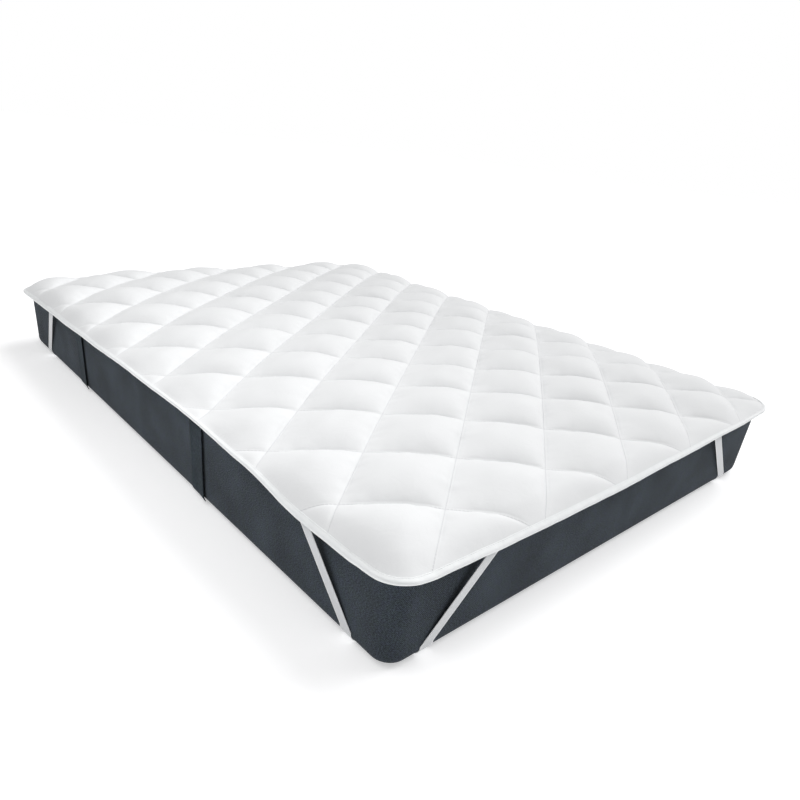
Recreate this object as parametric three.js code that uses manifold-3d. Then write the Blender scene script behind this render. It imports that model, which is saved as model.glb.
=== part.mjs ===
// Quilted mattress protector lying on its mattress, held by an elastic strap at each corner.
// Millimetres, +Z up. The origin is the middle of the base. X runs along the short side of the bed
// and Y along the long side. The near corner of the bed is at -X, -Y.

import * as THREE from 'three';
import { mergeVertices } from 'three/addons/utils/BufferGeometryUtils.js';
import Module from 'manifold-3d';

// Mattress
const bedWidth = 1400;
const bedLength = 1900;
const sideHeight = 200; // floor to the level where the top edge is fully turned
const bedCornerRadii = { near: 42, right: 95, left: 80, far: 85 }; // upright corners, in plan
const bedEdgeRadius = 25; // top and bottom edge
const domeHeight = 24; // the middle of the bed above its edge
const domeReach = 350; // the dome is flat further in than this
const domeCornerGrowth = 0.6; // corner radius gained per mm further in on the dome
const domeInsets = [80, 150, 250]; // rings between the turned edge and the flat middle
const edgeTurns = [0, 30, 60, 90]; // degrees round the mattress edge
const cornerSteps = 5;
const sagDepth = 30; // the left corner gives way under its strap
const sagReach = 280;
const sagMargin = 20; // least distance from a ring's corner to the end of the sag

// Protector pad
const padOverhang = 20; // past each face of the mattress
const padCornerRadii = { near: 50, right: 110, left: 85, far: 90 };
const padLift = 0.3; // under the pad, on the flat of the mattress
const edgeLift = 3; // under the pad, where it leaves the turned edge
const seamThickness = 4;
const rimThickness = 4;
const puffHeight = 27; // crown of a filled cell above its seams
const puffFade = 111; // a cell grows to full height this far inside the binding
const loftPower = 0.66; // below 1, the cloth stands up steeply beside a seam
const fadePower = 0.65; // the same beside the binding
const summitLean = 0.45; // how far the crown of a cell stands towards +X -Y
const droopPower = 1.6; // how late the overhanging rim bends down

// Diamond quilting: half the width and half the length of a cell, and one crossing of the seams
const halfCellX = 140.6;
const halfCellY = 111.3;
const crossingX = -524;
const crossingY = -869;
const stepsPerHalfCell = 4;
const rimWidth = 7.5; // the flat rim that the binding covers
const rimInsets = [0, rimWidth, 22, 40, 62]; // grid lines that follow the outline of the pad
const closestLines = 16;
const underLines = 4; // of them, those that the underside follows too

// Height of the rim's middle along each side, measured from the side's first corner
const rimHeights = {
  left: [
    { along: 0, height: 193 },
    { along: 60, height: 187.5 },
    { along: 90, height: 184.5 },
    { along: 224, height: 183 },
    { along: 408, height: 200.5 },
    { along: 638, height: 208 },
    { along: 936, height: 201.5 },
    { along: 1226, height: 191.5 },
    { along: 1464, height: 184.5 },
    { along: 1900, height: 176 },
  ],
  near: [
    { along: 0, height: 193 },
    { along: 68, height: 185 },
    { along: 158, height: 183.5 },
    { along: 218, height: 180.5 },
    { along: 389, height: 179 },
    { along: 583, height: 179 },
    { along: 819, height: 185.5 },
    { along: 1118, height: 193.5 },
    { along: 1400, height: 205 },
  ],
  right: [
    { along: 0, height: 205 },
    { along: 230, height: 192 },
    { along: 700, height: 196 },
    { along: 1250, height: 190 },
    { along: 1670, height: 182 },
    { along: 1900, height: 186 },
  ],
  far: [
    { along: 0, height: 176 },
    { along: 230, height: 180 },
    { along: 520, height: 190 },
    { along: 900, height: 188 },
    { along: 1170, height: 180 },
    { along: 1400, height: 186 },
  ],
};
const sideWeightPower = 4; // how firmly the nearest side sets the rim height

// Binding: a tape folded over the rim of the pad
const tapeThickness = 1.2;
const tapeReach = 6.5; // how far it covers the rim
const tapeGap = 0.9;
const noseReach = 2.6; // past the outline of the pad
const noseSkin = 0.8; // over the rim's corners, where the tape turns

// Elastic straps: where each meets the rim and the bottom edge, measured from its corner of the bed
const strapWidth = 25;
const strapThickness = 1.2;
const strapGap = 0.5; // under the binding
const strapBedGap = 0.5; // where it turns round the mattress edge
const strapTurns = [0, 30, 55]; // degrees round the bottom edge of the mattress
const strapFloorGap = 0.3;
const troughClearance = 0.4; // the mattress gives way to a strap under it
const flapStart = 4; // of the sewn end, inside the outline of the pad
const flapEnd = 16;
const clearStations = 4; // of each leg, from its sewn end on, that lie off the mattress
const sharpestFold = 0.5; // cosine at which a strip's corner stops growing
const straps = [
  { name: 'strap_near', signX: -1, signY: -1, rimX: 203, floorX: 87, rimY: 216, floorY: 104 },
  { name: 'strap_right', signX: 1, signY: -1, rimX: 351, floorX: 170, rimY: 351, floorY: 170 },
  { name: 'strap_left', signX: -1, signY: 1, rimX: 331, floorX: 198, rimY: 331, floorY: 198 },
  { name: 'strap_far', signX: 1, signY: 1, rimX: 320, floorX: 170, rimY: 320, floorY: 170 },
];

// Upright handle bands sewn on the left face of the mattress
const handleWidth = 62;
const handleThickness = 2;
const handleGap = 0.3; // along its sewn edge
const handleLift = 3.4; // along its loose edge
const handleBows = [0, 0.12, 0.45, 1]; // share of the lift, from the sewn to the loose edge
const handleTurns = { bottom: [30, 0], top: [0, 20] }; // degrees round the mattress edge
const handles = [
  { name: 'handle_head', y: 421 },
  { name: 'handle_foot', y: -313 },
];

const wasm = await Module();
wasm.setup();

const degrees = Math.PI / 180;
const weldDistance = 1e-4;
const halvings = 30; // of the search for a point's ring on the dome
const mix = (a, b, share) => a + (b - a) * share;
const clamp = (value, low, high) => Math.min(Math.max(value, low), high);

// Mesh building: points and triangles gathered in a list
class Shell {
  constructor() {
    this.points = [];
    this.faces = [];
  }

  add(x, y, z) {
    this.points.push(x, y, z);
    return this.points.length / 3 - 1;
  }

  addAll(points) {
    return points.map((point) => this.add(point.x, point.y, point.z));
  }

  tri(a, b, c) {
    this.faces.push(a, b, c);
  }

  quad(a, b, c, d) {
    this.tri(a, b, c);
    this.tri(a, c, d);
  }

  // Closed band between two loops with the same number of points
  band(low, high) {
    for (let i = 0; i < low.length; i++) {
      const next = (i + 1) % low.length;
      this.quad(low[i], low[next], high[next], high[i]);
    }
  }

  // The other side of the same band, divided along the same diagonals
  bandBelow(low, high) {
    for (let i = 0; i < low.length; i++) {
      const next = (i + 1) % low.length;
      this.quad(low[i], high[i], high[next], low[next]);
    }
  }

  at(index) {
    return new THREE.Vector3().fromArray(this.points, index * 3);
  }

  // Closed band between two loops with different numbers of points, by the shorter diagonal
  zip(outer, inner) {
    let start = 0;
    for (let k = 1; k < inner.length; k++) {
      if (this.at(inner[k]).distanceTo(this.at(outer[0]))
        < this.at(inner[start]).distanceTo(this.at(outer[0]))) {
        start = k;
      }
    }
    let i = 0;
    let j = 0;
    while (i < outer.length || j < inner.length) {
      const o = outer[i % outer.length];
      const n = inner[(start + j) % inner.length];
      const nextO = outer[(i + 1) % outer.length];
      const nextN = inner[(start + j + 1) % inner.length];
      const alongOuter = this.at(nextO).distanceTo(this.at(n));
      const alongInner = this.at(nextN).distanceTo(this.at(o));
      if (j >= inner.length || (i < outer.length && alongOuter <= alongInner)) {
        this.tri(o, nextO, n);
        i++;
      } else {
        this.tri(o, nextN, n);
        j++;
      }
    }
  }

  // Flat cap over a convex loop
  cap(loop) {
    for (let i = 1; i < loop.length - 1; i++) this.tri(loop[0], loop[i], loop[i + 1]);
  }

  geometry() {
    const geometry = new THREE.BufferGeometry();
    geometry.setAttribute('position', new THREE.Float32BufferAttribute(this.points, 3));
    geometry.setIndex(this.faces);
    return geometry;
  }
}

const reversed = (loop) => [...loop].reverse();

function toManifold(geometry) {
  const clean = geometry.clone();
  clean.deleteAttribute('normal');
  clean.deleteAttribute('uv');
  const merged = mergeVertices(clean, weldDistance);
  return new wasm.Manifold(new wasm.Mesh({
    numProp: 3,
    vertProperties: new Float32Array(merged.attributes.position.array),
    triVerts: new Uint32Array(merged.index.array),
  }));
}

function fromManifold(solid) {
  const mesh = solid.getMesh();
  const geometry = new THREE.BufferGeometry();
  geometry.setAttribute('position', new THREE.BufferAttribute(mesh.vertProperties, 3));
  geometry.setIndex(new THREE.BufferAttribute(mesh.triVerts, 1));
  return geometry;
}

// Distance from a point to a rounded rectangle, negative inside it
function outlineDistance(x, y, halfX, halfY, radius) {
  const dx = Math.abs(x) - (halfX - radius);
  const dy = Math.abs(y) - (halfY - radius);
  return Math.hypot(Math.max(dx, 0), Math.max(dy, 0)) + Math.min(Math.max(dx, dy), 0) - radius;
}

// Which of four corner radii holds for a point
function radiusAt(radii, x, y) {
  if (y < 0) return x < 0 ? radii.near : radii.right;
  return x < 0 ? radii.left : radii.far;
}

// Corner radius of the mattress ring that lies this far inside its faces
function ringRadius(inset, cornerRadius) {
  const turned = cornerRadius - Math.min(inset, bedEdgeRadius);
  return turned + domeCornerGrowth * Math.max(inset - bedEdgeRadius, 0);
}

function ringDistance(x, y, inset) {
  const radius = ringRadius(inset, radiusAt(bedCornerRadii, x, y));
  return outlineDistance(x, y, bedWidth / 2 - inset, bedLength / 2 - inset, radius);
}

// How far inside the mattress faces a point lies, measured by the rings of the dome
function insetAt(x, y) {
  if (ringDistance(x, y, 0) > 0) return -ringDistance(x, y, 0);
  let low = 0;
  let high = domeReach + bedEdgeRadius;
  for (let i = 0; i < halvings; i++) {
    const middle = (low + high) / 2;
    if (ringDistance(x, y, middle) > 0) high = middle;
    else low = middle;
  }
  return low;
}

// How far the corner that sags lies below the rest
function sagAt(x, y) {
  const away = Math.hypot(bedWidth / 2 + x, bedLength / 2 - y);
  return sagDepth * Math.max(1 - away / sagReach, 0) ** 2;
}

// Height of the mattress top at an inset past its turned edge
function domeAt(inset) {
  const share = clamp((inset - bedEdgeRadius) / domeReach, 0, 1);
  return sideHeight + domeHeight * (1 - (1 - share) ** 2);
}

// A ring of the mattress in plan, counter-clockwise, with the same number of points at every inset
function ringPlan(inset) {
  const corners = [
    { signX: 1, signY: 1, radius: bedCornerRadii.far, from: 0 },
    { signX: -1, signY: 1, radius: bedCornerRadii.left, from: 90, sags: true },
    { signX: -1, signY: -1, radius: bedCornerRadii.near, from: 180 },
    { signX: 1, signY: -1, radius: bedCornerRadii.right, from: 270 },
  ];
  return corners.flatMap((corner) => {
    const radius = ringRadius(inset, corner.radius);
    const centreX = corner.signX * (bedWidth / 2 - inset - radius);
    const centreY = corner.signY * (bedLength / 2 - inset - radius);
    const arc = Array.from({ length: cornerSteps + 1 }, (_, k) => {
      const angle = (corner.from + (90 * k) / cornerSteps) * degrees;
      return { x: centreX + radius * Math.cos(angle), y: centreY + radius * Math.sin(angle) };
    });
    if (!corner.sags) return arc;
    const before = { x: Math.max(sagReach - bedWidth / 2, centreX + sagMargin), y: centreY + radius };
    const after = { x: centreX - radius, y: Math.min(bedLength / 2 - sagReach, centreY - sagMargin) };
    return [before, ...arc, after];
  });
}

const ringAt = (inset, height) => ringPlan(inset).map((point) => ({ ...point, z: height }));

const sagged = (ring) => ring.map((point) => ({ ...point, z: point.z - sagAt(point.x, point.y) }));

// Inset and height round the mattress edge, from the upright face (0) to the flat (90 degrees)
const turnInset = (angle) => bedEdgeRadius * (1 - Math.cos(angle * degrees));
const turnHeight = (angle) => bedEdgeRadius * (1 - Math.sin(angle * degrees));

// Middle height of the pad's rim near one side, by smooth steps between the rows of its table
function rimRow(rows, along) {
  let index = 0;
  while (index < rows.length - 2 && along > rows[index + 1].along) index++;
  const a = rows[index];
  const b = rows[index + 1];
  const share = clamp((along - a.along) / (b.along - a.along), 0, 1);
  return mix(a.height, b.height, share * share * (3 - 2 * share));
}

// Rim height seen from any point, weighing each side by how near it is
function rimHeightAt(x, y) {
  const sides = [
    { rows: rimHeights.left, away: bedWidth / 2 + x, along: bedLength / 2 + y },
    { rows: rimHeights.right, away: bedWidth / 2 - x, along: bedLength / 2 + y },
    { rows: rimHeights.near, away: bedLength / 2 + y, along: bedWidth / 2 + x },
    { rows: rimHeights.far, away: bedLength / 2 - y, along: bedWidth / 2 + x },
  ];
  let sum = 0;
  let weights = 0;
  for (const side of sides) {
    const weight = 1 / Math.max(side.away + 2 * padOverhang, 1) ** sideWeightPower;
    sum += weight * rimRow(side.rows, side.along);
    weights += weight;
  }
  return sum / weights;
}

const padHalfX = bedWidth / 2 + padOverhang;
const padHalfY = bedLength / 2 + padOverhang;

function padInsetAt(x, y) {
  return -outlineDistance(x, y, padHalfX, padHalfY, radiusAt(padCornerRadii, x, y));
}

// Underside of the pad: on the dome, then clear of the turned edge and down to the rim
function padUnderAt(x, y) {
  const inset = insetAt(x, y);
  const leave = domeAt(bedEdgeRadius) + edgeLift - sagAt(x, y);
  if (inset >= bedEdgeRadius) {
    const settled = clamp((inset - bedEdgeRadius) / (domeInsets[0] - bedEdgeRadius), 0, 1);
    return domeAt(inset) - sagAt(x, y) + mix(edgeLift, padLift, settled);
  }
  const fromDome = bedEdgeRadius - inset;
  const share = fromDome / (fromDome + Math.max(padInsetAt(x, y), 0));
  const drop = leave - (rimHeightAt(x, y) - rimThickness / 2);
  return leave - drop * share ** droopPower;
}

// Share of the full loft: rises steeply beside a seam or the binding and is level further in
const loft = (share, power) => (1 - (1 - clamp(share, 0, 1)) ** 2) ** power;

// Distance from the nearest seam as a share of half a cell, seen across a leaning cell
function seamShare(value, lean) {
  const share = value - Math.floor(value);
  const leant = share - lean * share * (1 - share);
  return 1 - Math.abs(2 * leant - 1);
}

function puffAt(x, y) {
  const u = (x - crossingX) / halfCellX / 2;
  const v = (y - crossingY) / halfCellY / 2;
  const cell = loft(seamShare(u - v, summitLean), loftPower) * loft(seamShare(u + v, 0), loftPower);
  const rim = loft((padInsetAt(x, y) - rimWidth) / puffFade, fadePower);
  return puffHeight * cell * rim;
}

function padTopAt(x, y) {
  const inner = clamp((padInsetAt(x, y) - rimWidth) / puffFade, 0, 1);
  return padUnderAt(x, y) + mix(rimThickness, seamThickness, inner) + puffAt(x, y);
}

// Grid lines across the pad: the rim's own lines, and between them those that divide the cells
function gridLines(half, crossing, halfCell) {
  const step = halfCell / stepsPerHalfCell;
  const lastLine = half - rimInsets.at(-1) - closestLines;
  const lines = rimInsets.map((inset) => -half + inset);
  const first = Math.ceil((-lastLine - crossing) / step);
  for (let k = first; crossing + k * step < lastLine; k++) lines.push(crossing + k * step);
  return [...lines, ...rimInsets.toReversed().map((inset) => half - inset)];
}

// Square corners of the grid are drawn in to the round corners of the outline
function roundCorner(x, y) {
  const radius = radiusAt(padCornerRadii, x, y);
  const px = Math.abs(x) - (padHalfX - radius);
  const py = Math.abs(y) - (padHalfY - radius);
  if (px <= 0 || py <= 0) return { x, y };
  const pull = Math.max(px, py) / Math.hypot(px, py);
  return {
    x: Math.sign(x) * (padHalfX - radius + px * pull),
    y: Math.sign(y) * (padHalfY - radius + py * pull),
  };
}

const linesX = gridLines(padHalfX, crossingX, halfCellX);
const linesY = gridLines(padHalfY, crossingY, halfCellY);

// Plan points of the grid ring that lies this many lines inside the outline, counter-clockwise
function gridRing(depth) {
  const lastX = linesX.length - 1 - depth;
  const lastY = linesY.length - 1 - depth;
  const cells = [];
  for (let i = depth; i < lastX; i++) cells.push([i, depth]);
  for (let j = depth; j < lastY; j++) cells.push([lastX, j]);
  for (let i = lastX; i > depth; i--) cells.push([i, lastY]);
  for (let j = lastY; j > depth; j--) cells.push([depth, j]);
  return cells.map(([i, j]) => roundCorner(linesX[i], linesY[j]));
}

function buildPad() {
  const shell = new Shell();
  const top = linesX.map((x) => linesY.map((y) => {
    const point = roundCorner(x, y);
    return shell.add(point.x, point.y, padTopAt(point.x, point.y));
  }));
  for (let i = 0; i < linesX.length - 1; i++) {
    for (let j = 0; j < linesY.length - 1; j++) {
      const column = Math.floor(((linesX[i] + linesX[i + 1]) / 2 - crossingX) / halfCellX);
      const row = Math.floor(((linesY[j] + linesY[j + 1]) / 2 - crossingY) / halfCellY);
      const [a, b, c, d] = [top[i][j], top[i + 1][j], top[i + 1][j + 1], top[i][j + 1]];
      if ((column + row) % 2 === 0) shell.quad(a, b, c, d);
      else shell.quad(b, c, d, a);
    }
  }
  const lastX = linesX.length - 1;
  const lastY = linesY.length - 1;
  const rim = [];
  for (let i = 0; i < lastX; i++) rim.push(top[i][0]);
  for (let j = 0; j < lastY; j++) rim.push(top[lastX][j]);
  for (let i = lastX; i > 0; i--) rim.push(top[i][lastY]);
  for (let j = lastY; j > 0; j--) rim.push(top[0][j]);

  const underRings = Array.from({ length: underLines }, (_, depth) => shell.addAll(
    gridRing(depth).map((point) => ({ ...point, z: padUnderAt(point.x, point.y) }))));
  shell.band(underRings[0], rim);
  for (let k = 0; k < underRings.length - 1; k++) shell.zip(underRings[k + 1], underRings[k]);
  const insets = [...domeInsets, bedEdgeRadius + domeReach];
  const domeRings = insets.map(
    (inset) => shell.addAll(sagged(ringAt(inset, domeAt(inset) + padLift))));
  shell.zip(domeRings[0], underRings.at(-1));
  for (let k = 0; k < domeRings.length - 1; k++) shell.bandBelow(domeRings[k], domeRings[k + 1]);
  shell.cap(reversed(domeRings.at(-1)));
  return shell.geometry();
}

// Binding: the section of the folded tape carried round the outline, sloping with the rim
function buildBinding() {
  const shell = new Shell();
  const slot = rimThickness / 2 + tapeGap;
  const section = [
    { out: -tapeReach, up: slot },
    { out: -tapeReach, up: slot + tapeThickness },
    { out: noseReach, up: slot + noseSkin },
    { out: noseReach, up: -slot - noseSkin },
    { out: -tapeReach, up: -slot - tapeThickness },
    { out: -tapeReach, up: -slot },
    { out: tapeGap, up: -slot },
    { out: tapeGap, up: slot },
  ];
  const outline = gridRing(0);
  const loops = outline.map((point, k) => {
    const before = outline[(k + outline.length - 1) % outline.length];
    const after = outline[(k + 1) % outline.length];
    const sideA = new THREE.Vector2(point.y - before.y, before.x - point.x).normalize();
    const sideB = new THREE.Vector2(after.y - point.y, point.x - after.x).normalize();
    const normal = sideA.clone().add(sideB).normalize();
    const mitre = 1 / normal.dot(sideA);
    const rimUnder = padUnderAt(point.x, point.y);
    const level = rimUnder + rimThickness / 2;
    const inner = padUnderAt(point.x - normal.x * rimWidth, point.y - normal.y * rimWidth);
    const slope = (inner - rimUnder) / rimWidth;
    return shell.addAll(section.map(({ out, up }) => ({
      x: point.x + normal.x * out * mitre,
      y: point.y + normal.y * out * mitre,
      z: level - out * slope + up,
    })));
  });
  loops.forEach((loop, k) => shell.band(loop, loops[(k + 1) % loops.length]));
  return shell.geometry();
}

// Strip of cloth through stations that each hold the two ends of a line across it
function buildStrip(stations, thickness, extraWidth) {
  const shell = new Shell();
  const middles = stations.map((station) =>
    station.inner.clone().add(station.outer).multiplyScalar(0.5));
  const pieces = stations.slice(1).map((_, k) => {
    const along = middles[k + 1].clone().sub(middles[k]);
    const acrossA = stations[k].outer.clone().sub(stations[k].inner);
    const acrossB = stations[k + 1].outer.clone().sub(stations[k + 1].inner);
    return along.cross(acrossA.normalize().add(acrossB.normalize())).normalize();
  });
  const loops = stations.map((station, k) => {
    const normalA = pieces[Math.max(k - 1, 0)];
    const normalB = pieces[Math.min(k, pieces.length - 1)];
    const normal = normalA.clone().add(normalB).normalize();
    const fold = Math.max(normal.dot(normalA), sharpestFold);
    const offset = normal.multiplyScalar(thickness / 2 / fold);
    const across = station.outer.clone().sub(station.inner).normalize().multiplyScalar(extraWidth);
    const inner = station.inner.clone().sub(across);
    const outer = station.outer.clone().add(across);
    return shell.addAll([
      inner.clone().sub(offset),
      outer.clone().sub(offset),
      outer.clone().add(offset),
      inner.clone().add(offset),
    ]);
  });
  for (let k = 0; k < loops.length - 1; k++) shell.band(loops[k], loops[k + 1]);
  shell.cap(reversed(loops[0]));
  shell.cap(loops.at(-1));
  return shell.geometry();
}

// Stations of one leg of a strap, from its sewn end down the face and under the mattress edge.
// Along is measured from the corner of the bed, inset from the face, both in the leg's own sense.
function strapLeg(strap, alongY) {
  const rim = alongY ? strap.rimY : strap.rimX;
  const floor = alongY ? strap.floorY : strap.floorX;
  const place = (along, inset, z) => (alongY
    ? new THREE.Vector3(strap.signX * (bedWidth / 2 - inset), strap.signY * (bedLength / 2 - along), z)
    : new THREE.Vector3(strap.signX * (bedWidth / 2 - along), strap.signY * (bedLength / 2 - inset), z));
  const lean = Math.atan2(rim - floor, sideHeight - bedEdgeRadius);
  const halfCut = strapWidth / 2 / Math.cos(lean);
  const halfCutUnder = strapWidth / 2 / Math.cos(Math.PI / 4);
  const across = (along, half, inset, z) => ({
    inner: place(along + half, inset, z),
    outer: place(along - half, inset, z),
  });
  const underRim = (padInset) => {
    const point = place(rim, padInset - padOverhang, 0);
    const below = tapeThickness + tapeGap + strapGap + strapThickness;
    return padUnderAt(point.x, point.y) - below;
  };
  const radius = bedEdgeRadius + strapBedGap + strapThickness / 2;
  const turn = strapTurns.map((angle) => ({
    inset: bedEdgeRadius - radius * Math.cos(angle * degrees),
    z: bedEdgeRadius - radius * Math.sin(angle * degrees),
  }));
  const base = strapFloorGap + strapThickness / 2;
  return [
    across(rim, halfCut, flapEnd - padOverhang, underRim(flapEnd)),
    across(rim, halfCut, flapStart - padOverhang, underRim(flapStart)),
    ...turn.map(({ inset, z }) => across(floor, halfCut, inset, z)),
    across(floor, halfCutUnder, bedEdgeRadius, base),
  ];
}

function strapStations(strap) {
  return [...strapLeg(strap, true), ...strapLeg(strap, false).reverse()];
}

function buildMattress() {
  const shell = new Shell();
  const bottom = edgeTurns.toReversed().map((angle) => ringAt(turnInset(angle), turnHeight(angle)));
  const top = edgeTurns.map((angle) => ringAt(turnInset(angle), sideHeight - turnHeight(angle)));
  const dome = [...domeInsets, bedEdgeRadius + domeReach].map((inset) => ringAt(inset, domeAt(inset)));
  const rings = [...bottom, ...[...top, ...dome].map(sagged)].map((ring) => shell.addAll(ring));
  for (let k = 0; k < rings.length - 1; k++) shell.band(rings[k], rings[k + 1]);
  shell.cap(reversed(rings[0]));
  shell.cap(rings.at(-1));
  let solid = toManifold(shell.geometry());
  for (const strap of straps) {
    const underneath = strapStations(strap).slice(clearStations, -clearStations);
    const trough = buildStrip(underneath, strapThickness + 2 * troughClearance, troughClearance);
    solid = solid.subtract(toManifold(trough));
  }
  return fromManifold(solid);
}

// Handle: an upright band on the left face, sewn along one edge and bowed out to its loose edge
function buildHandle(handle) {
  const shell = new Shell();
  const rows = [
    ...handleTurns.bottom.map((angle) => ({ angle: -angle, level: bedEdgeRadius })),
    ...handleTurns.top.map((angle) => ({ angle, level: sideHeight - bedEdgeRadius })),
  ];
  const loops = rows.map(({ angle, level }) => {
    const outline = [];
    for (const skin of [0, handleThickness]) {
      const edge = handleBows.map((bow, k) => {
        const radius = bedEdgeRadius + handleGap + handleLift * bow + skin;
        return {
          x: -(bedWidth / 2 - bedEdgeRadius) - radius * Math.cos(angle * degrees),
          y: handle.y + handleWidth * (0.5 - k / (handleBows.length - 1)),
          z: level + radius * Math.sin(angle * degrees),
        };
      });
      outline.push(...(skin === 0 ? edge : edge.reverse()));
    }
    return shell.addAll(outline.reverse());
  });
  for (let k = 0; k < loops.length - 1; k++) shell.band(loops[k], loops[k + 1]);
  shell.cap(reversed(loops[0]));
  shell.cap(loops.at(-1));
  return shell.geometry();
}

const cloth = (color, roughness) => new THREE.MeshStandardMaterial({ color, roughness, metalness: 0 });

function piece(name, geometry, material) {
  const mesh = new THREE.Mesh(geometry, material);
  mesh.name = name;
  return mesh;
}

const group = new THREE.Group();
group.add(piece('mattress', buildMattress(), cloth(0x3a4046, 0.95)));
group.add(piece('pad', buildPad(), cloth(0xf2f3f4, 0.85)));
group.add(piece('binding', buildBinding(), cloth(0xeef2f4, 0.8)));
for (const strap of straps) {
  const strip = buildStrip(strapStations(strap), strapThickness, 0);
  group.add(piece(strap.name, strip, cloth(0xdcdddf, 0.75)));
}
for (const handle of handles) {
  group.add(piece(handle.name, buildHandle(handle), cloth(0x363c42, 0.95)));
}

export default group;
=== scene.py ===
import math
import bmesh
import bpy
import numpy as np
from mathutils import Matrix, Vector


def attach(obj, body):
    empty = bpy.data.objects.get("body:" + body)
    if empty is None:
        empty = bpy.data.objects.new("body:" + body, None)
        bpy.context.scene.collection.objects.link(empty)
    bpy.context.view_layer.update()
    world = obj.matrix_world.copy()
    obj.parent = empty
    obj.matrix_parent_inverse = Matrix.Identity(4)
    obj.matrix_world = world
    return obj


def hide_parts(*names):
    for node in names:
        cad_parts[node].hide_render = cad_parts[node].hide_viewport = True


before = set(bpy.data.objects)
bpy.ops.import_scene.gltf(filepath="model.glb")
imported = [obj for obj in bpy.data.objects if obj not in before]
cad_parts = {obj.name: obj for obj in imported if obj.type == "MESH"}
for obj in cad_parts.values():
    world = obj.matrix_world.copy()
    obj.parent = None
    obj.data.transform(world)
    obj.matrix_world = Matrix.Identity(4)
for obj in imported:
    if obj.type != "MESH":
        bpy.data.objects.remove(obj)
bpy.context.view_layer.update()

# Quilted mattress protector on its mattress. Metres, +Z up, the middle of the base at the origin,
# the long side along Y. The near corner of the bed is at -X, -Y.

mm = 0.001


# Colours are written as on screen and turned linear here
def screenColour(hexText):
    channels = [int(hexText[k:k + 2], 16) / 255 for k in (1, 3, 5)]
    linear = [c / 12.92 if c <= 0.04045 else ((c + 0.055) / 1.055) ** 2.4 for c in channels]
    return (*linear, 1.0)


# One shader node with its own settings, its inputs given as numbers or as another node's output
def addNode(owner, kind, settings=None, inputs=None):
    tree = owner.node_tree
    node = tree.nodes.new(kind)
    for name, value in (settings or {}).items():
        setattr(node, name, value)
    for name, value in (inputs or {}).items():
        if isinstance(value, bpy.types.NodeSocket):
            tree.links.new(value, node.inputs[name])
        else:
            node.inputs[name].default_value = value
    return node


def calculate(owner, operation, *values):
    node = addNode(owner, "ShaderNodeMath", {"operation": operation}, dict(enumerate(values)))
    return node.outputs[0]


# Share of the way from start to end, smoothed at both, or what is left of that way
def smoothShare(owner, value, start, end, falling=False):
    low, high = (1.0, 0.0) if falling else (0.0, 1.0)
    node = addNode(owner, "ShaderNodeMapRange", {"interpolation_type": "SMOOTHSTEP"},
                   {"Value": value, "From Min": start, "From Max": end,
                    "To Min": low, "To Max": high})
    return node.outputs[0]


# Each of the two colours is hex text or another node's output
def blend(owner, share, *colours):
    first, second = [screenColour(c) if isinstance(c, str) else c for c in colours]
    node = addNode(owner, "ShaderNodeMix", {"data_type": "RGBA"}, {0: share, 6: first, 7: second})
    return node.outputs[2]


def addNoise(owner, place, dimensions, **inputs):
    node = addNode(owner, "ShaderNodeTexNoise", {"noise_dimensions": dimensions},
                   {"Vector": place, **inputs})
    return node.outputs["Fac"]


# Bump by a height, on top of an earlier one if that is given
def addRelief(owner, height, strength, depth, below=None, invert=False):
    node = addNode(owner, "ShaderNodeBump", {"invert": invert},
                   {"Height": height, "Strength": strength, "Distance": depth})
    if below is not None:
        owner.node_tree.links.new(below, node.inputs["Normal"])
    return node.outputs[0]


# A UV layer as a whole and as its two coordinates
def uvPlace(owner, layer):
    place = addNode(owner, "ShaderNodeUVMap", {"uv_map": layer}).outputs[0]
    split = addNode(owner, "ShaderNodeSeparateXYZ", None, {0: place})
    return place, split.outputs[0], split.outputs[1]


def newMaterial(name, settings):
    material = bpy.data.materials.new(name)
    material.use_nodes = True
    surface = material.node_tree.nodes["Principled BSDF"]
    for socket, value in settings.items():
        surface.inputs[socket].default_value = value
    return material, surface


def joinSurface(material, surface, **sockets):
    for name, output in sockets.items():
        material.node_tree.links.new(output, surface.inputs[name.replace("_", " ")])


# Makes the object of a finished bmesh, hangs it under the root body and hides the imported part
# that it takes the place of
def finishPiece(bm, name, material, node):
    mesh = bpy.data.meshes.new(name)
    bm.to_mesh(mesh)
    bm.free()
    mesh.materials.append(material)
    mesh.shade_smooth()
    piece = bpy.data.objects.new(name, mesh)
    bpy.context.scene.collection.objects.link(piece)
    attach(piece, "root")
    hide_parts(node)
    print(name, "made,", len(mesh.polygons), "faces")
    return piece


# Camera: the photograph's angle, with a wide lens a little under a metre from the near corner
camera = dict(
    place=(-1224.4 * mm, -1454.3 * mm, 755.3 * mm),
    right=(0.7436, -0.6598, 0.1077),
    down=(-0.2305, -0.4043, -0.8851),
    forward=(0.6276, 0.6334, -0.4528),
    lens=28.262,
    sensor=36,
    raised=0.075,
    nearest=0.05,
    farthest=60,
)


def placeCamera():
    data = bpy.data.cameras.new("camera")
    data.sensor_width = camera["sensor"]
    data.lens = camera["lens"]
    data.shift_y = camera["raised"]
    data.clip_start = camera["nearest"]
    data.clip_end = camera["farthest"]
    eye = bpy.data.objects.new("camera", data)
    bpy.context.scene.collection.objects.link(eye)
    right = Vector(camera["right"])
    up = -Vector(camera["down"])
    back = -Vector(camera["forward"])
    turn = Matrix((right, up, back)).transposed().to_4x4()
    eye.matrix_world = Matrix.Translation(camera["place"]) @ turn
    bpy.context.scene.camera = eye


placeCamera()

# The bed that the cloth fits over
bed = dict(
    width=1400 * mm,
    length=1900 * mm,
    sideHeight=200 * mm,
    cornerRadii=dict(near=42 * mm, right=95 * mm, left=80 * mm, far=85 * mm),
    edgeRadius=25 * mm,
    domeHeight=24 * mm,
    domeReach=350 * mm,
    domeCornerGrowth=0.6,
    sagDepth=30 * mm,  # the left corner gives way under its strap
    sagReach=280 * mm,
)

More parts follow.
